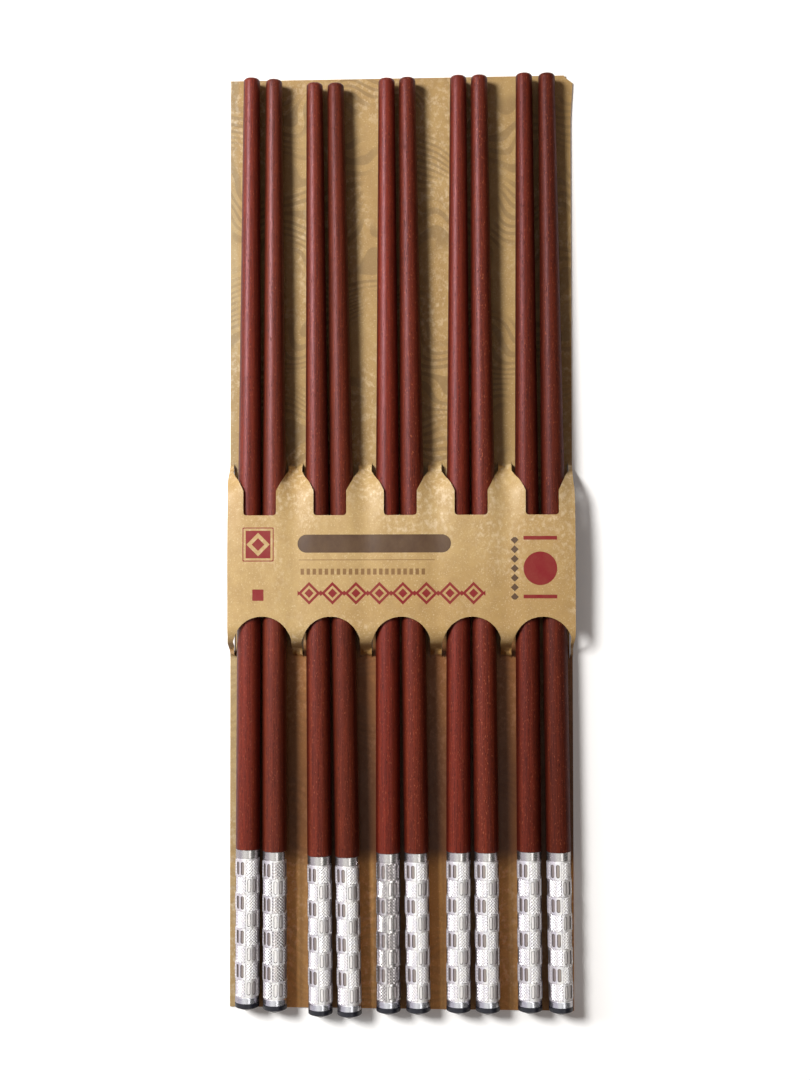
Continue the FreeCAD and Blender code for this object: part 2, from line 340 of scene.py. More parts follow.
def lifted_faces(bm, height):
    """Thickens a flat mesh by drawing its faces up, and gives back the upper ones."""
    lifted = bmesh.ops.extrude_face_region(bm, geom=bm.faces[:])["geom"]
    top = [item for item in lifted if isinstance(item, bmesh.types.BMVert)]
    bmesh.ops.translate(bm, verts=top, vec=(0, 0, height))
    return [item for item in lifted if isinstance(item, bmesh.types.BMFace)]


def knurled_panel():
    """A flat raised panel, X around and Y along the sleeve, its top cut into small pyramids."""
    cell = 0.6
    cells = 10
    crest_height = 0.14
    bm = bmesh.new()
    bmesh.ops.create_grid(bm, x_segments=cells, y_segments=cells, size=cells * cell / 2)
    bmesh.ops.rotate(bm, verts=bm.verts, matrix=Matrix.Rotation(math.pi / 4, 3, "Z"))
    half_width = (panel_width - panel_gap) / 2
    half_length = (row_length - panel_gap) / 2
    for way, reach in ((Vector((1, 0, 0)), half_width), (Vector((0, 1, 0)), half_length)):
        for side in (way, -way):
            bmesh.ops.bisect_plane(bm, geom=bm.verts[:] + bm.edges[:] + bm.faces[:], dist=1e-5,
                                   plane_co=side * reach, plane_no=side, clear_outer=True)
    bmesh.ops.translate(bm, verts=bm.verts, vec=(0, 0, -panel_root))
    faces = lifted_faces(bm, panel_root)
    bmesh.ops.poke(bm, faces=faces, offset=crest_height)
    bmesh.ops.recalc_face_normals(bm, faces=bm.faces)
    # one way of the pyramids' facets can have a darker metal of its own (material 3), painted shade
    # that draws the knurl's hatch
    for face in bm.faces:
        if face.normal.z > 0.5 and face.normal.x < -0.1 and face.normal.y > 0.1:
            face.material_index = 3
    return bm


def slotted_half_panel(side):
    """Half of a plain panel with its one slot, which lies nearer to the panel's middle."""
    segments = 12
    half_width, half_length = panel_width / 4, row_length / 2
    bm = bmesh.new()
    loops = []
    for radius in (1.0, 2.0):
        verts = bmesh.ops.create_circle(bm, segments=segments, radius=radius)["verts"]
        bmesh.ops.rotate(bm, verts=verts, matrix=Matrix.Rotation(math.pi / segments, 3, "Z"))
        loops.append(verts)
    slot_shift = side * (slot_pitch / 2 - half_width)

    def over_slot(place, margin):
        return (abs(place.x - slot_shift) < slot_width / 2 + margin
                and abs(place.y) < slot_length / 2 + margin)

    for vert in loops[0]:
        vert.co *= slot_width / 2
        vert.co.y += math.copysign((slot_length - slot_width) / 2, vert.co.y)
        vert.co.x += slot_shift
    for vert in loops[1]:
        vert.co.x, vert.co.y = (
            math.copysign(half, share) if abs(share) > 0.5 else share * half
            for share, half in ((vert.co.x / 2, half_width), (vert.co.y / 2, half_length)))
    bmesh.ops.bridge_loops(bm, edges=bm.edges[:])
    bmesh.ops.translate(bm, verts=bm.verts, vec=(0, 0, -slot_depth - panel_root))
    lifted_faces(bm, slot_depth + panel_root)
    rim = [e for e in bm.edges if all(v.co.z > -1e-6 and over_slot(v.co, 1e-4) for v in e.verts)]
    bmesh.ops.bevel(bm, geom=rim, offset=slot_edge, segments=1, profile=0.5, affect="EDGES",
                    material=-1)
    bmesh.ops.recalc_face_normals(bm, faces=bm.faces)
    # the slot's walls and bevels are material 4, painted dark as shade
    for face in bm.faces:
        middle = face.calc_center_median()
        if middle.z < -1e-6 and over_slot(middle, slot_edge):
            face.material_index = 4
    return bm


def wrapped(bm, middle_y, middle_angle):
    """Rolls a flat panel around the sleeve; the angle runs from +X towards +Z."""
    for vert in bm.verts:
        angle = middle_angle - vert.co.x / sleeve_radius
        radius = sleeve_radius + vert.co.z
        vert.co = (radius * math.cos(angle), middle_y + vert.co.y, radius * math.sin(angle))


def gathered(target, source):
    """Moves a bmesh into another one."""
    mesh = bpy.data.meshes.new("stamped_panel")
    source.to_mesh(mesh)
    source.free()
    target.from_mesh(mesh)
    bpy.data.meshes.remove(mesh)


def stamped_sleeve():
    """The whole sleeve, its rows counted from the plug's end."""
    sleeve = sleeve_tube()
    panel_angle = math.tau / panels_per_row
    for row in range(row_count):
        middle_y = sleeve_start + plug_rim_length + (row + 0.5) * row_length
        for place in range(panels_per_row):
            angle = (place + 0.5) * panel_angle
            if (place + row) % 2 == 0:
                panels = [(knurled_panel(), angle)]
            else:
                panels = [(slotted_half_panel(side), angle - side * panel_angle / 4)
                          for side in (-1, 1)]
            for panel, panel_middle in panels:
                wrapped(panel, middle_y, panel_middle)
                gathered(sleeve, panel)
    mesh = bpy.data.meshes.new("stamped_sleeve")
    sleeve.to_mesh(mesh)
    sleeve.free()
    return mesh


def stamped_aluminium(name, light_tint, dark_tint, smooth, rough, metallic, share=None):
    """Satin metal, cloudy between two tints or mixed by a share of the place and the way it faces;
    smooth and rough bound its roughness. Towards -X it is painted a shade darker and cooler, and
    both
    flanks are painted dusky: painted reflection of the dim sides of a room."""
    material, tree, shader, place = new_material(name)
    if share:
        cloud = share(tree, place)
    else:
        cloud = fade(tree, noise_at(tree, place, (0.9, 0.5, 0.9), 3.0, 0.6), 0.35, 0.65)
    rub = noise_at(tree, place, (7.0, 3.0, 7.0), 2.0, 0.6, (4, 8, 2))
    tint = mixed(tree, cloud, light_tint, dark_tint)
    across = facing_way(tree, "X")
    # painted reflection: panels leaning to -X are tinted darker and cooler
    tint = mixed(tree, fade(tree, across, -0.05, -0.50), tint,
                 tinted(tree, tint, colour(204, 199, 210)))
    # painted reflection: both flanks are darkened towards a dim grey
    painted_dim_flanks = highest(tree, fade(tree, across, 0.62, 0.92, 0.0, 0.6),
                   fade(tree, across, -0.80, -0.97, 0.0, 0.7))
    tint = mixed(tree, painted_dim_flanks, tint, colour(92, 86, 90))
    tree.links.new(tint, shader.inputs["Base Color"])
    tree.links.new(fade(tree, rub, 0.3, 0.7, smooth, rough), shader.inputs["Roughness"])
    bump = add(tree, "ShaderNodeBump", {"Height": rub, "Strength": 0.25, "Distance": 0.01 * mm})
    tree.links.new(bump.outputs["Normal"], shader.inputs["Normal"])
    shader.inputs["Metallic"].default_value = metallic
    return material


bright_metal = stamped_aluminium("bright_stamped_aluminium", colour(250, 249, 246),
                                 colour(238, 238, 240), 0.28, 0.40, 0.45)
sharp_metal = stamped_aluminium("sharper_stamped_aluminium", colour(236, 232, 228),
                                colour(208, 204, 202), 0.14, 0.24, 0.80)
# painted shade: dark metal for one way of the knurl's facets
painted_shade_facet_metal = stamped_aluminium("knurl_facets_painted_shade", colour(120, 114, 112),
                                colour(92, 86, 84), 0.3, 0.4, 0.85)


def near_wood(tree, place):
    """1 on the rims at the wood, 0 on those at the plugs."""
    along_sleeve = add(tree, "ShaderNodeSeparateXYZ", {0: place}).outputs["Y"]
    return fade(tree, along_sleeve, (card_bottom + 20) * mm, (card_bottom + 28) * mm)


def painted_shade_facing_left(tree, place):
    """1 where the surface leans to -X, where the slots' floors get painted shade."""
    return fade(tree, facing_way(tree, "X"), 0.10, -0.05)


# painted reflection: the rims at the wood are a shade darker than those at the plugs
rim_metal = stamped_aluminium("polished_aluminium_rims", colour(216, 216, 220),
                              colour(206, 202, 198), 0.18, 0.28, 0.9, near_wood)
# painted shade: the slots' floors are darker where they lean to -X
slot_metal = stamped_aluminium("aluminium_in_slots", colour(252, 250, 248),
                               colour(156, 146, 138), 0.4, 0.5, 0.4, painted_shade_facing_left)
# painted shade: the slots' walls are dark
painted_shade_wall_metal = stamped_aluminium("slot_walls_painted_shade", colour(70, 62, 58), colour(54, 48, 44), 0.5, 0.6, 0.5)
# two sleeves show their knurl more sharply than the rest, through painted shade on one way of their
# facets, and one of them is duller all over
sharp_sleeves = ("pair_1_right", "pair_3_left")
dull_sleeve = "pair_3_left"
sleeve_mesh = stamped_sleeve()
for stick, turn in zip(stick_names, sleeve_turns):
    metal = sharp_metal if stick == dull_sleeve else bright_metal
    bm = bmesh.new()
    bm.from_mesh(sleeve_mesh)
    lay = lay_of(stick) @ Matrix.Rotation(math.radians(turn), 4, "Y")
    bmesh.ops.transform(bm, matrix=lay, verts=bm.verts)
    sleeve = make_piece(bm, f"{stick}_stamped_sleeve", metal, 25)
    facet_metal = painted_shade_facet_metal if stick in sharp_sleeves else bright_metal
    for other_metal in (slot_metal, rim_metal, facet_metal, painted_shade_wall_metal):
        sleeve.data.materials.append(other_metal)
    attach(sleeve, "root")
    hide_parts(f"{stick}_sleeve")
bpy.data.meshes.remove(sleeve_mesh)

# ---------------------------------------------------------------- end plugs
# Black plastic, moulded with a shallow cone and a rolled edge. Each is pressed and glued into its
# sleeve by a spigot behind the flange, and its face keeps the mould's fine polish.
plug_cone_length = 1.2
plug_flange_end = 2.5
plug_radius = 3.225
spigot_radius = 2.745
spigot_end = 7.5
plug_edge_rounding = 0.35
edge_flattening = 0.8      # the rolled edge is less deep than wide
flange_edge = 0.06
plug_steps = 48


def black_plastic():
    """Blue-black plastic, polished, with a thin haze and a shallow ripple."""
    material, tree, shader, place = new_material("black_moulded_plastic")
    haze = noise_at(tree, place, (2.0, 2.0, 2.0), 3.0, 0.6)
    ripple = noise_at(tree, place, (6.0, 6.0, 6.0), 2.0, 0.5, (5, 1, 7))
    tint = mixed(tree, fade(tree, haze, 0.4, 0.7), colour(7, 7, 20), colour(13, 12, 28))
    tree.links.new(tint, shader.inputs["Base Color"])
    tree.links.new(fade(tree, haze, 0.3, 0.7, 0.30, 0.42), shader.inputs["Roughness"])
    bump = add(tree, "ShaderNodeBump", {"Height": ripple, "Strength": 0.15, "Distance": 0.02 * mm})
    tree.links.new(bump.outputs["Normal"], shader.inputs["Normal"])
    return material


plug_material = black_plastic()
rolled_edge = [(plug_radius - plug_edge_rounding * (1 - math.sin(t)),
                plug_cone_length + plug_edge_rounding * (1 - math.cos(t)) * edge_flattening)
               for t in [math.radians(a) for a in (20, 35, 50, 65, 78, 90)]]
plug_profile = [(0, 0), (0.5, 0.14), *rolled_edge, (plug_radius, plug_flange_end - flange_edge),
                (plug_radius - flange_edge, plug_flange_end), (spigot_radius, plug_flange_end),
                (spigot_radius, spigot_end), (0, spigot_end)]
for stick in stick_names:
    bm = turned(plug_profile, plug_steps)
    bmesh.ops.transform(bm, matrix=lay_of(stick), verts=bm.verts)
    plug = make_piece(bm, f"{stick}_moulded_plug", plug_material)
    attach(plug, "root")
    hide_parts(f"{stick}_end_plug")

# ---------------------------------------------------------------- card
# One sheet of kraft board, printed, die-cut and folded: two cuts to a pair let a band bow forward
# over the sticks while the tabs inside the cuts stay lying behind them.
thickness = 0.45
window_width = 15.01
window_pitch = 18.66
side_margin_left = 1.15
arch_shifts = [0.6, 0.25, 0.25, 0.25, 0.1]   # each lower cut lies this far right of its upper one
band_from_tips = 118.5
band_depth = 26.8
band_crown = 0.35
band_height = 7.125
upper_shoulder = 10.2      # over the sticks the sheet stays up this far past its upper cut
upper_ramp_run = 2.8
lower_shoulder = 5.4
lower_ramp_run = 4.1
neck_foot = 13.2           # between the pairs it comes down sooner
neck_shoulder = 7.6
neck_height = 5.6
neck_reach = 5.4           # its lower line fades out this far from the middle of the neck
band_sag = 0.3
band_slip = 0.35
stick_clearance = 0.08
bend_radius = 6.0
crown_radius = 60.0
mouth_width = 8.6
mouth_length = 6.4
flare_length = 5.2
arch_length = 6.8
arch_widening = 0.25
cut_corner_radius = 0.8
kerf = 0.1
worn_across, worn_along = 1.8, 2.2   # off the right corner at the tips' end
edge_bulge = 0.6           # of the right edge, at the tips' end

band_top = card_top - band_from_tips
band_bottom = band_top - band_depth
level_top = band_top + upper_shoulder
level_bottom = band_bottom - lower_shoulder
foot_top = level_top + upper_ramp_run
foot_bottom = level_bottom - lower_ramp_run


def rounded_line(corners, radii, steps=8):
    """Points along a line of corners, each inner corner rounded."""
    points = [Vector(corners[0])]
    for before, corner, after, radius in zip(corners, corners[1:], corners[2:], radii):
        before, corner, after = Vector(before), Vector(corner), Vector(after)
        arriving = (corner - before).normalized()
        leaving = (after - corner).normalized()
        reach = radius * math.tan(arriving.angle(leaving) / 2)
        start, end = corner - arriving * reach, corner + leaving * reach
        sweep = arriving.angle(leaving) / 2
        centre = corner + (leaving - arriving).normalized() * radius / math.cos(sweep)
        points += [centre + (start - centre).slerp(end - centre, n / steps) * radius
                   for n in range(steps + 1)]
    points.append(Vector(corners[-1]))
    return points


# The sheet's under face as corners from the tips' end to the heads' end, each with the radius of
# its bend: along the necks between the pairs, where the sheet's length is measured, and over the
# sticks.
band_middle = (level_top + level_bottom) / 2
lower_end = [(band_middle, band_height + band_crown), (level_bottom, band_height),
             (foot_bottom, 0), (card_bottom, 0)]
neck_line = rounded_line([(card_top, 0), (band_top + neck_foot, 0),
                          (band_top + neck_shoulder, neck_height),
                          (band_top - 2, band_height - 0.1)] + lower_end,
                         [3.0, 8, 12, crown_radius, bend_radius, 3.0], 12)
over_line = rounded_line([(card_top, 0), (foot_top, 0), (level_top, band_height)] + lower_end,
                         [1.0, bend_radius, crown_radius, bend_radius, 3.0], 12)
bent_y = np.array([p[0] for p in neck_line])
bent_z = np.array([p[1] for p in neck_line])
over_y = np.array([p[0] for p in over_line])
over_z = np.array([p[1] for p in over_line])
along = np.concatenate([[0], np.cumsum(np.hypot(np.diff(bent_y), np.diff(bent_z)))])
sheet_length = along[-1]


def flat_at(y):
    """Distance from the tips' end, along the sheet, of the place that lies at y."""
    return float(np.interp(-y, -bent_y, along))


lift_top = float(bent_y[1])
lift_bottom = float(bent_y[-2])
upper_root, lower_root = flat_at(lift_top), flat_at(lift_bottom)
wide = window_width / 2
mouth = mouth_width / 2
flare = band_top + mouth_length
upper_cut = rounded_line([(wide, upper_root), (wide, flat_at(flare + flare_length)),
                          (mouth, flat_at(flare)), (mouth, flat_at(band_top)),
                          (-mouth, flat_at(band_top)), (-mouth, flat_at(flare)),
                          (-wide, flat_at(flare + flare_length)), (-wide, upper_root)],
                         [cut_corner_radius] * 6, 4)
spring = flat_at(band_bottom - arch_length)
arch_rise = spring - flat_at(band_bottom)
arch = wide + arch_widening
lower_cut = [Vector((arch, lower_root))]
lower_cut += [Vector((arch * math.cos(t), spring - arch_rise * math.sin(t)))
              for t in [math.pi * n / 24 for n in range(25)]]
lower_cut += [Vector((-arch, lower_root))]
window_middles = [card_left + side_margin_left + wide + pair * window_pitch for pair in range(5)]
cuts = [(middle, upper_cut) for middle in window_middles]
cuts += [(middle + shift, lower_cut) for middle, shift in zip(window_middles, arch_shifts)]


def die_cut_sheet():
    """The flat sheet, X across and Y from the tips' end down, with every cut made by the die."""
    ramp_reach, ramp_step = 16, 0.4      # the rows are finer where the sheet bends
    rows = np.arange(0, sheet_length, 1.8)
    for ramp in (upper_root, lower_root):
        fine_rows = np.arange(ramp - ramp_reach, ramp + ramp_reach + 0.01, ramp_step)
        rows = np.append(rows[abs(rows - ramp) > ramp_reach], fine_rows)
    rows = np.append(np.sort(rows), sheet_length)
    width = card_right - card_left
    bm = bmesh.new()
    bmesh.ops.create_grid(bm, x_segments=92, y_segments=len(rows) - 1, size=1)
    for vert in bm.verts:
        row = round((vert.co.y + 1) / 2 * (len(rows) - 1))
        vert.co = ((card_left + card_right + vert.co.x * width) / 2, rows[row], 0)
    lifted_faces(bm, thickness)
    bmesh.ops.recalc_face_normals(bm, faces=bm.faces)
    trimmed = bmesh.ops.bisect_plane(bm, geom=bm.verts[:] + bm.edges[:] + bm.faces[:], dist=1e-5,
                                     plane_co=(card_right - worn_across, 0, 0),
                                     plane_no=(worn_along, -worn_across, 0), clear_outer=True)
    open_edges = [item for item in trimmed["geom_cut"] if isinstance(item, bmesh.types.BMEdge)]
    bmesh.ops.holes_fill(bm, edges=open_edges)
    sheet = make_piece(bm, "kraft_card", kraft)
    # the rule stands through the sheet along every cut, as wide as the kerf
    die = bmesh.new()
    for middle, outline in cuts:
        line = [die.verts.new((middle + p.x, p.y, -1)) for p in outline]
        edges = [die.edges.new(pair) for pair in zip(line, line[1:])]
        wall = bmesh.ops.extrude_edge_only(die, edges=edges)["geom"]
        raised = [item for item in wall if isinstance(item, bmesh.types.BMVert)]
        bmesh.ops.translate(die, verts=raised, vec=(0, 0, 3))
    die.normal_update()
    for vert in die.verts:
        vert.co += vert.normal * kerf / 2
    bmesh.ops.solidify(die, geom=die.faces[:], thickness=kerf)
    bmesh.ops.recalc_face_normals(die, faces=die.faces)
    rule = make_piece(die, "cutting_rule", kraft)
    cutting = sheet.modifiers.new("die_cut", "BOOLEAN")
    cutting.operation = "DIFFERENCE"
    cutting.solver = "EXACT"
    cutting.object = rule
    after_cutting = sheet.evaluated_get(bpy.context.evaluated_depsgraph_get())
    cut_mesh = bpy.data.meshes.new_from_object(after_cutting)
    sheet.modifiers.remove(cutting)
    bpy.data.objects.remove(rule)
    return sheet, cut_mesh


def inside(outline, x, y):
    """Whether each point lies within a closed outline."""
    within = np.zeros(len(x), bool)
    for (ax, ay), (bx, by) in zip(outline, outline[1:] + outline[:1]):
        if ay != by:
            within ^= ((ay > y) != (by > y)) & (x < (bx - ax) * (y - ay) / (by - ay) + ax)
    return within


def ink_group():
    """A printed block with rounded corners: 1 inside it and 0 outside, in millimetres."""
    tree = bpy.data.node_groups.new("printed_block", "ShaderNodeTree")
    for name in ("Place", "Middle", "Half size"):
        tree.interface.new_socket(name, in_out="INPUT", socket_type="NodeSocketVector")
    tree.interface.new_socket("Rounding", in_out="INPUT", socket_type="NodeSocketFloat")
    tree.interface.new_socket("Ink", in_out="OUTPUT", socket_type="NodeSocketFloat")
    given = add(tree, "NodeGroupInput").outputs
    out = add(tree, "NodeGroupOutput")
    away = vector_math(tree, "SUBTRACT", given["Place"], given["Middle"])[0]
    away = vector_math(tree, "ABSOLUTE", away)[0]
    beyond = vector_math(tree, "SUBTRACT", away, given["Half size"])[0]
    round_off = add(tree, "ShaderNodeCombineXYZ", {"X": given["Rounding"],
                                                   "Y": given["Rounding"]}).outputs[0]
    beyond = vector_math(tree, "ADD", beyond, round_off)[0]
    beyond = vector_math(tree, "MULTIPLY", beyond, (1, 1, 0))[0]
    outside = vector_math(tree, "LENGTH", vector_math(tree, "MAXIMUM", beyond)[0])["Value"]
    parts = add(tree, "ShaderNodeSeparateXYZ", {0: beyond}).outputs
    within = math_node(tree, "MINIMUM", highest(tree, parts["X"], parts["Y"]), 0.0)
    distance = math_node(tree, "SUBTRACT", math_node(tree, "ADD", outside, within),
                         given["Rounding"])
    tree.links.new(fade(tree, distance, 0.04, -0.04), out.inputs["Ink"])
    return tree


def kraft_pulp(tree, place):
    """Cloudy brown board with fine fibres both ways, pale specks and drifts of paler pulp. Gives
    back its colour, its mottle and its relief."""
    cloud = noise_at(tree, place, (0.025, 0.02, 0.025), 3.0, 0.55)
    mottle = noise_at(tree, place, (0.35, 0.25, 0.35), 4.0, 0.65, (3, 1, 4))
    fibres = noise_at(tree, place, (5.0, 1.4, 5.0), 3.0, 0.6, (9, 2, 6))
    cross_fibres = noise_at(tree, place, (1.6, 6.0, 1.6), 2.0, 0.6, (1, 8, 3))
    specks = noise_at(tree, place, (2.6, 2.2, 2.6), 2.0, 0.6, (6, 2, 9))
    board = mixed(tree, fade(tree, cloud, 0.35, 0.65), colour(186, 158, 108), colour(176, 145, 94))
    for pattern, start, full, share, tint in (
            (mottle, 0.3, 0.75, 0.35, colour(148, 117, 75)),
            (fibres, 0.55, 0.75, 0.35, colour(190, 162, 118)),
            (cross_fibres, 0.60, 0.78, 0.4, colour(131, 99, 60)),
            (specks, 0.56, 0.74, 0.4, colour(232, 216, 180))):
        board = mixed(tree, fade(tree, pattern, start, full, 0.0, share), board, tint)
    paler = noise_at(tree, place, (0.9, 0.7, 0.9), 3.0, 0.6, (7, 3, 5))
    drift = noise_at(tree, place, (0.05, 0.03, 0.05), 2.0, 0.5, (1, 4, 3))
    paler = product(tree, fade(tree, paler, 0.46, 0.70), fade(tree, drift, 0.40, 0.58), 0.55)
    board = mixed(tree, paler, board, colour(222, 203, 172))
    relief = math_node(tree, "ADD", fibres, product(tree, cross_fibres, 0.6))
    return board, mottle, relief


def curved_strokes(tree, place, y):
    """Fans of fine curved strokes that come and go in patches, fainter between band and heads."""
    warp = add(tree, "ShaderNodeTexNoise", {"Vector": place, "Scale": 42.0, "Detail": 1.0})
    bowed = vector_math(tree, "MULTIPLY_ADD", warp.outputs["Color"], (0.05, 0.05, 0), place)[0]
    waves = add(tree, "ShaderNodeTexWave", {"Vector": bowed, "Scale": 95.0, "Distortion": 5.0,
                                            "Detail": 1.0, "Detail Scale": 0.6},
                wave_type="RINGS").outputs["Fac"]
    patches = noise_at(tree, place, (0.07, 0.05, 0.0), 1.0, 0.5, (2, 5, 0))
    return product(tree, fade(tree, waves, 0.45, 0.7), fade(tree, patches, 0.42, 0.56),
                   fade(tree, y, band_bottom - 9, band_bottom - 3, 0.25, 0.6))


def painted_light_and_shade_lying(tree, x, y):
    """Painted shade on the board where it lies: nearly none at the tips and deeper towards the
    heads, least in the gap at the left. Beside the heads a painted light stands for what the metal
    throws onto the board, and the left margin is left out of the shade, only a hair cooler."""
    left_gap_end, next_gap_start = -31, -15
    painted_shade_downward = fade(tree, y, band_bottom - 6, band_bottom - 48)
    left_gap = mixed(tree, painted_shade_downward, colour(226, 186, 158), colour(172, 132, 106))
    other_gaps = mixed(tree, painted_shade_downward, colour(194, 153, 130), colour(136, 98, 80))
    tint = mixed(tree, fade(tree, y, band_bottom - 3, band_bottom - 9), colour(238, 233, 224),
                 mixed(tree, fade(tree, x, left_gap_end, next_gap_start), left_gap, other_gaps))
    painted_light_beside_heads = 0.0
    # painted light on the board beside each sleeve
    for pair in range(1, 6):
        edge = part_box(f"pair_{pair}_right_sleeve")[1].x / mm
        strip = product(tree, fade(tree, x, edge + 3.4, edge + 1.9),
                        fade(tree, x, edge - 2.0, edge - 1.0))
        painted_light_beside_heads = highest(tree, strip, painted_light_beside_heads)
    painted_thrown_light = (1.9, 1.45, 1.15, 1)
    tint = mixed(tree, fade(tree, y, card_bottom + 43, card_bottom + 36), tint,
                 mixed(tree, painted_light_beside_heads, colour(212, 186, 166), painted_thrown_light))
    left_margin = fade(tree, x, card_left + 2.6, card_left + 1.4)
    return mixed(tree, left_margin, tint, colour(237, 243, 255))


def less(tree, ink, hole):
    """An ink with a hole left out of it."""
    return product(tree, ink, math_node(tree, "SUBTRACT", 1.0, hole))


def mirrored(tree, value, middle, half_pitch):
    """Distance from the nearest of a row of places, the middle one among them."""
    return math_node(tree, "PINGPONG", math_node(tree, "SUBTRACT", value, middle), half_pitch)


def distance_from(tree, value, middle):
    return math_node(tree, "ABSOLUTE", math_node(tree, "SUBTRACT", value, middle))


def lozenge(tree, across, along_y, size):
    """A diamond: 1 where the two distances together stay below the size."""
    return fade(tree, math_node(tree, "ADD", across, along_y), size + 0.05, size - 0.05)


def band_inks(tree, scaled, x, y):
    """The band's print, as a colour and its blocks for each of three inks: a row of lozenges within
    a frame of blocks, dots and bars."""
    printed_block = ink_group()
    middle_y = (card_top + card_bottom) / 2

    def block(middle, half_size, rounding=0.0):
        """A block, with its middle counted from the middle of the card."""
        made = add(tree, "ShaderNodeGroup", {}, node_tree=printed_block)
        tree.links.new(scaled, made.inputs["Place"])
        made.inputs["Middle"].default_value = (middle[0], middle_y + middle[1], 0)
        made.inputs["Half size"].default_value = (*half_size, 0)
        made.inputs["Rounding"].default_value = rounding
        return made.outputs["Ink"]

    row_at, half_pitch = -14.1, 3.1
    row_x = mirrored(tree, x, 1.0, half_pitch)
    row_y = distance_from(tree, y, middle_y + row_at)
    between = math_node(tree, "SUBTRACT", half_pitch, row_x)
    ring = less(tree, lozenge(tree, row_x, row_y, 3.0), lozenge(tree, row_x, row_y, 2.05))
    row = highest(tree, ring, lozenge(tree, row_x, row_y, 1.25),
                  lozenge(tree, between, row_y, 0.75))
    stamp_at = (-37.35, -1.2)
    stamp_x = mirrored(tree, x, stamp_at[0], 9.0)
    stamp_y = mirrored(tree, y, middle_y + stamp_at[1], 9.0)
    stamp = less(tree, lozenge(tree, stamp_x, stamp_y, 3.1), lozenge(tree, stamp_x, stamp_y, 1.7))
    red_inks = [
        product(tree, block((-2.1, row_at), (24.8, 3.2)), row),
        less(tree, block(stamp_at, (4.15, 4.5), 0.3), block(stamp_at, (3.9, 4.25), 0.3)),
        less(tree, block(stamp_at, (3.3, 3.65), 0.1), stamp),
        block((-37.4, -14.6), (1.5, 1.5), 0.2),
        block((37.1, -7.6), (4.4, 4.4), 4.4),
        block((37.1, 0.4), (4.4, 0.5)),
        block((37.1, -15.0), (4.4, 0.5)),
    ]
    studs_at = (30.4, -7.6)
    studs = lozenge(tree, distance_from(tree, x, studs_at[0]),
                    mirrored(tree, y, middle_y + studs_at[1], 1.25), 1.05)
    brown_inks = [
        block((-6.6, -1.0), (20.3, 2.4), 2.4),
        product(tree, block(studs_at, (1.2, 8.2)), studs),
    ]
    ticks = fade(tree, mirrored(tree, x, 0.0, 0.8), 0.5, 0.42)
    pale_inks = [
        product(tree, block((-9.6, -8.4), (17.0, 0.8)), ticks),
        block((-8.6, -5.3), (18.0, 0.09)),
    ]
    return [(colour(122, 14, 26), red_inks), (colour(74, 52, 36), brown_inks),
            (colour(126, 94, 58), pale_inks)]


def printed_kraft():
    """Kraft board, tone on tone over the front where it lies, with painted shade by its place, and
    printed on the band. The lower ramp is painted a little darker than the band, as shade."""
    material, tree, shader, place = new_material("printed_kraft_board")
    scaled = add(tree, "ShaderNodeVectorMath", {0: place, 3: 1 / mm}, operation="SCALE").outputs[0]
    parts = add(tree, "ShaderNodeSeparateXYZ", {0: scaled}).outputs
    x, y, z = parts["X"], parts["Y"], parts["Z"]
    front = fade(tree, facing_way(tree, "Z"), 0.2, 0.4)
    board, mottle, relief = kraft_pulp(tree, place)
    strokes = product(tree, curved_strokes(tree, place, y), fade(tree, z, 1.2, 0.9), front)
    board = mixed(tree, strokes, board, colour(140, 116, 80))
    lying_board_painted_shade = tinted(tree, board, painted_light_and_shade_lying(tree, x, y))
    painted_shade_ramp_board = tinted(tree, board, colour(206, 190, 172))
    # painted shade on the lower ramp
    painted_shade_on_ramp = product(tree, fade(tree, y, band_bottom - 3, band_bottom - 7),
                      fade(tree, z, 6.5, 3.0))
    board = mixed(tree, painted_shade_on_ramp, board, painted_shade_ramp_board)
    board = mixed(tree, fade(tree, z, 1.0, 0.5), board, lying_board_painted_shade)
    worn = fade(tree, mottle, 0.2, 0.8, 1.0, 0.92)
    for ink_colour, inks in band_inks(tree, scaled, x, y):
        board = mixed(tree, product(tree, highest(tree, *inks), front, worn), board, ink_colour)
    tree.links.new(board, shader.inputs["Base Color"])
    tree.links.new(fade(tree, mottle, 0.3, 0.7, 0.42, 0.56), shader.inputs["Roughness"])
    shader.inputs["Specular IOR Level"].default_value = 0.3
    bump = add(tree, "ShaderNodeBump", {"Height": relief, "Strength": 0.35, "Distance": 0.03 * mm})
    tree.links.new(bump.outputs["Normal"], shader.inputs["Normal"])
    return material


kraft = printed_kraft()
card, card_mesh = die_cut_sheet()
flat_places = np.zeros(len(card_mesh.vertices) * 3)
card_mesh.vertices.foreach_get("co", flat_places)
x, run, above = flat_places.reshape(-1, 3).T     # above its under face
slope = np.arctan2(np.gradient(bent_z, along), -np.gradient(bent_y, along))
tilt = np.interp(run, along, slope)
y = np.interp(run, along, bent_y) + above * np.sin(tilt)
z = np.interp(run, along, bent_z) + above * np.cos(tilt)


def ramp_share(values, low, high):
    """0 below low, 1 above high and smooth between."""
    share = np.clip((values - low) / (high - low), 0, 1)
    return share * share * (3 - 2 * share)


# The sheet stands higher over the sticks than along the necks between the pairs, sags a little
# between them over the whole band, and has slipped a hair to the right.
from_neck = np.min([abs(x - middle - way * window_pitch / 2) for middle in window_middles
                    for way in (-1, 1)], axis=0)
rise = np.interp(-y, -over_y, over_z) - np.interp(-y, -bent_y, bent_z)
z += np.maximum(rise, 0) * ramp_share(from_neck, 0.0, neck_reach)
on_band = ramp_share(run, flat_at(band_top) - 6, flat_at(band_top) + 4)
on_band *= 1 - ramp_share(run, flat_at(band_bottom), flat_at(band_bottom) + 6)
z -= band_sag * on_band * np.exp(-(from_neck / 3.0) ** 2)
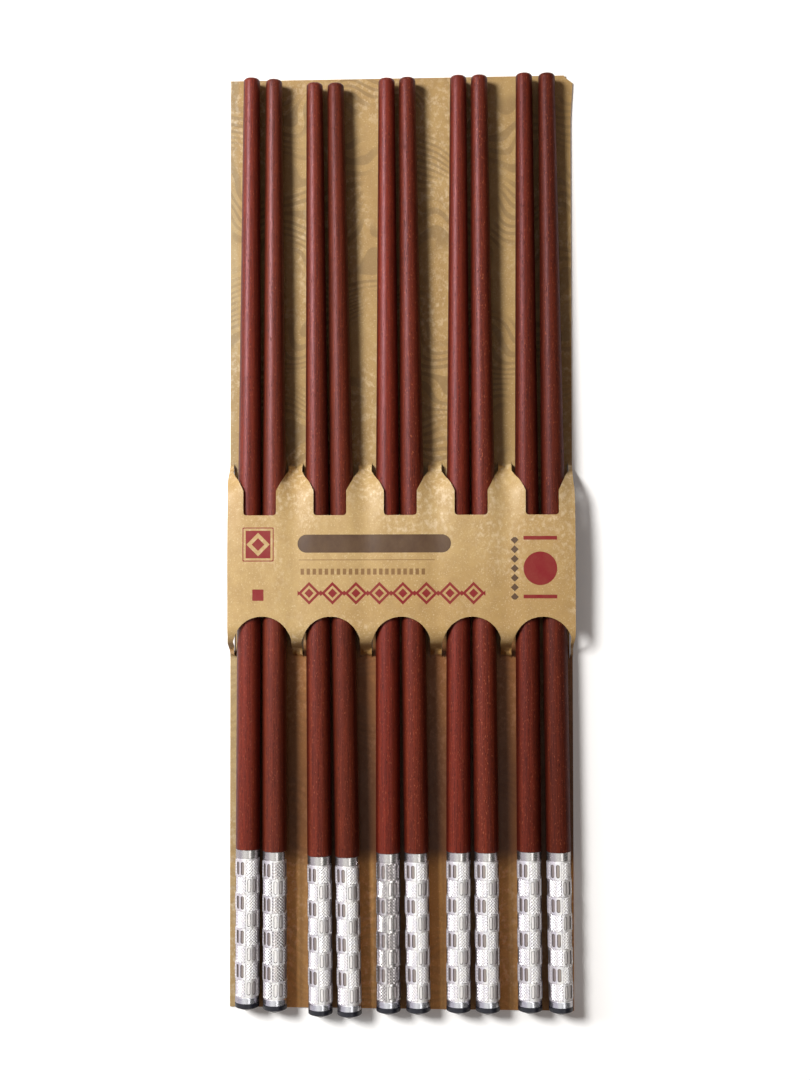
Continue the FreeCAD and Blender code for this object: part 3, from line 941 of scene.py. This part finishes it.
# Where a stick would still come through, the sheet is raised over its round top and a straight
# slope on each side of it.
over_sticks = ramp_share(run, upper_root + 0.5, upper_root + 1.5)
over_sticks *= 1 - ramp_share(run, lower_root - 1.5, lower_root - 0.5)
for stick in stick_names:
    lay = lay_of(stick)
    head, tip = lay @ Vector() / mm, lay @ Vector((0, tip_end, 0)) / mm
    from_tip = (tip.y - y) / (tip_end - taper_start)
    radius = taper_radius + (tip_radius - taper_radius) * np.clip(1 - from_tip, 0, 1)
    away = abs(x - np.interp(y, [head.y, tip.y], [head.x, tip.x]))
    round_top = np.minimum(away, 0.9 * radius)
    top = tip.z + np.sqrt(radius ** 2 - round_top ** 2) - 2 * (away - round_top)
    z += over_sticks * np.maximum(top + stick_clearance + above - z, 0)
bent_x = x + band_slip * ramp_share(z, 4.5, 7.0)
# the tabs inside the cuts stay flat, and run straight on from where the sheet leaves the table
for middle, outline in cuts:
    tab = inside([(middle + p.x, p.y) for p in outline], x, run)
    root = (lift_top + upper_root) if outline is upper_cut else (lift_bottom + lower_root)
    y[tab], z[tab] = root - run[tab], above[tab]
right_edge = ramp_share(x, card_right - 1.2, card_right)
bent_x += edge_bulge * right_edge * (1 - ramp_share(run, 0, 14))
card_mesh.vertices.foreach_set("co", np.column_stack([bent_x, y, z]).ravel() * mm)
card_mesh.flip_normals()   # the flat sheet ran the other way along Y
card_mesh.shade_smooth()
card_mesh.set_sharp_from_angle(angle=math.radians(40))
old_mesh = card.data
card.data = card_mesh
bpy.data.meshes.remove(old_mesh)
card.name = "die_cut_kraft_card"
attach(card, "root")
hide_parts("card")

# ---------------------------------------------------------------- table, light and camera
# A white table, painted dark under the card and glowing for the camera by a painted light, under a
# soft key lamp
#  at the upper left, with a small lamp low at the left and a dim fill from the room. The camera
#  looks down from over the middle of the card.
table_bm = bmesh.new()
bmesh.ops.create_grid(table_bm, x_segments=1, y_segments=1, size=3)
bmesh.ops.translate(table_bm, verts=table_bm.verts, vec=(0, 0, -0.02 * mm))
table_material, table_tree, table_shader, table_place = new_material("white_table")
table_shader.inputs["Roughness"].default_value = 0.9
table_shader.inputs["Specular IOR Level"].default_value = 0.0
card_middle = Vector(((card_left + card_right) / 2, (card_top + card_bottom) / 2, 0)) * mm
# how far a place lies past the card's edges, less than 0 inside them
card_half = (card_right * mm, card_top * mm, 0)
past_edges = vector_math(table_tree, "SUBTRACT", table_place, card_middle)[0]
past_edges = vector_math(table_tree, "ABSOLUTE", past_edges)[0]
past_edges = vector_math(table_tree, "SUBTRACT", past_edges, card_half)[0]
past_sides = add(table_tree, "ShaderNodeSeparateXYZ", {0: past_edges}).outputs
past_card = highest(table_tree, past_sides["X"], past_sides["Y"])
# the table is painted dark under the card, a painted shade, so that no white shows through its cuts
table_white_painted_shade = mixed(table_tree, fade(table_tree, past_card, -0.9 * mm, -1.2 * mm),
                    (0.93, 0.93, 0.93, 1), (0.10, 0.07, 0.045, 1))
table_tree.links.new(table_white_painted_shade, table_shader.inputs["Base Color"])
# and for the camera alone it is glowing, a painted light: a little at the card, more from two
# centimetres off and
#  most far away, sooner past its ends than past its sides, which lifts the shadows there
past_edges = vector_math(table_tree, "MAXIMUM", past_edges)[0]
past_edges = vector_math(table_tree, "MULTIPLY", past_edges, (1, 4, 0))[0]
beyond = vector_math(table_tree, "LENGTH", past_edges)["Value"]
painted_glow = math_node(table_tree, "ADD", fade(table_tree, beyond, 1 * mm, 18 * mm, 0.12, 0.32),
                 fade(table_tree, beyond, 0.15, 0.9, 0.0, 0.95))
camera_ray = add(table_tree, "ShaderNodeLightPath").outputs["Is Camera Ray"]
painted_glow = product(table_tree, camera_ray, painted_glow, fade(table_tree, past_card, -1.2 * mm, -0.9 * mm))
table_tree.links.new(painted_glow, table_shader.inputs["Emission Strength"])
table_shader.inputs["Emission Color"].default_value = (0.9, 0.97, 1, 1)
table = make_piece(table_bm, "table", table_material)

# The room fills the shadows with a dim warm light, and the camera sees it white. What shines
# mirrors it brighter towards the lamp, with a bright strip overhead that runs along the sticks,
# a little to their right.
world = bpy.data.worlds.new("studio")
bpy.context.scene.world = world
world.use_nodes = True
world_tree = world.node_tree
background = world_tree.nodes["Background"]
ray = add(world_tree, "ShaderNodeLightPath").outputs
way = add(world_tree, "ShaderNodeTexCoord").outputs["Generated"]
to_lamp = vector_math(world_tree, "DOT_PRODUCT", way, (-0.75, 0.2, 0.63))["Value"]
off_strip = vector_math(world_tree, "DOT_PRODUCT", way, (0.883, 0, -0.469))["Value"]
off_strip = math_node(world_tree, "ABSOLUTE", off_strip)
mirrored_room = math_node(world_tree, "ADD", fade(world_tree, to_lamp, -0.25, 0.75, 0.10, 1.0),
                          fade(world_tree, off_strip, 0.12, 0.07, 0.0, 2.0))
room = mixed(world_tree, ray["Is Glossy Ray"], (0.12, 0.08, 0.06, 1), (1, 1, 1, 1))
room = mixed(world_tree, ray["Is Camera Ray"], room, (1, 1, 1, 1))
strength = product(world_tree, ray["Is Glossy Ray"],
                   math_node(world_tree, "SUBTRACT", mirrored_room, 1.0))
strength = math_node(world_tree, "ADD", strength, 1.0)
world_tree.links.new(room, background.inputs["Color"])
world_tree.links.new(strength, background.inputs["Strength"])


def disc_lamp(name, place, size, power):
    """A round lamp over the table, turned to the middle of the card."""
    lamp = bpy.data.lights.new(name, "AREA")
    lamp.shape = "DISK"
    lamp.size = size
    lamp.energy = power
    lamp.color = (1.0, 0.985, 0.96)
    holder = bpy.data.objects.new(name, lamp)
    holder.location = card_middle + Vector(place)
    holder.rotation_euler = (card_middle - holder.location).to_track_quat("-Z", "Y").to_euler()
    bpy.context.scene.collection.objects.link(holder)


disc_lamp("key", (-0.46, 0.27, 0.61), 0.27, 8.9)
disc_lamp("side", (-0.20, 0.05, 0.15), 0.12, 0.13)

camera_data = bpy.data.cameras.new("camera")
camera_data.lens = 46.83
camera_data.sensor_width = 36.0
camera = bpy.data.objects.new("camera", camera_data)
camera.location = card_middle + Vector((18.81, -7.94, 377.41)) * mm
camera.rotation_euler = [math.radians(a) for a in (1.21, 2.67, -0.09)]
bpy.context.scene.collection.objects.link(camera)
bpy.context.scene.camera = camera
bpy.context.scene.view_settings.view_transform = "Standard"
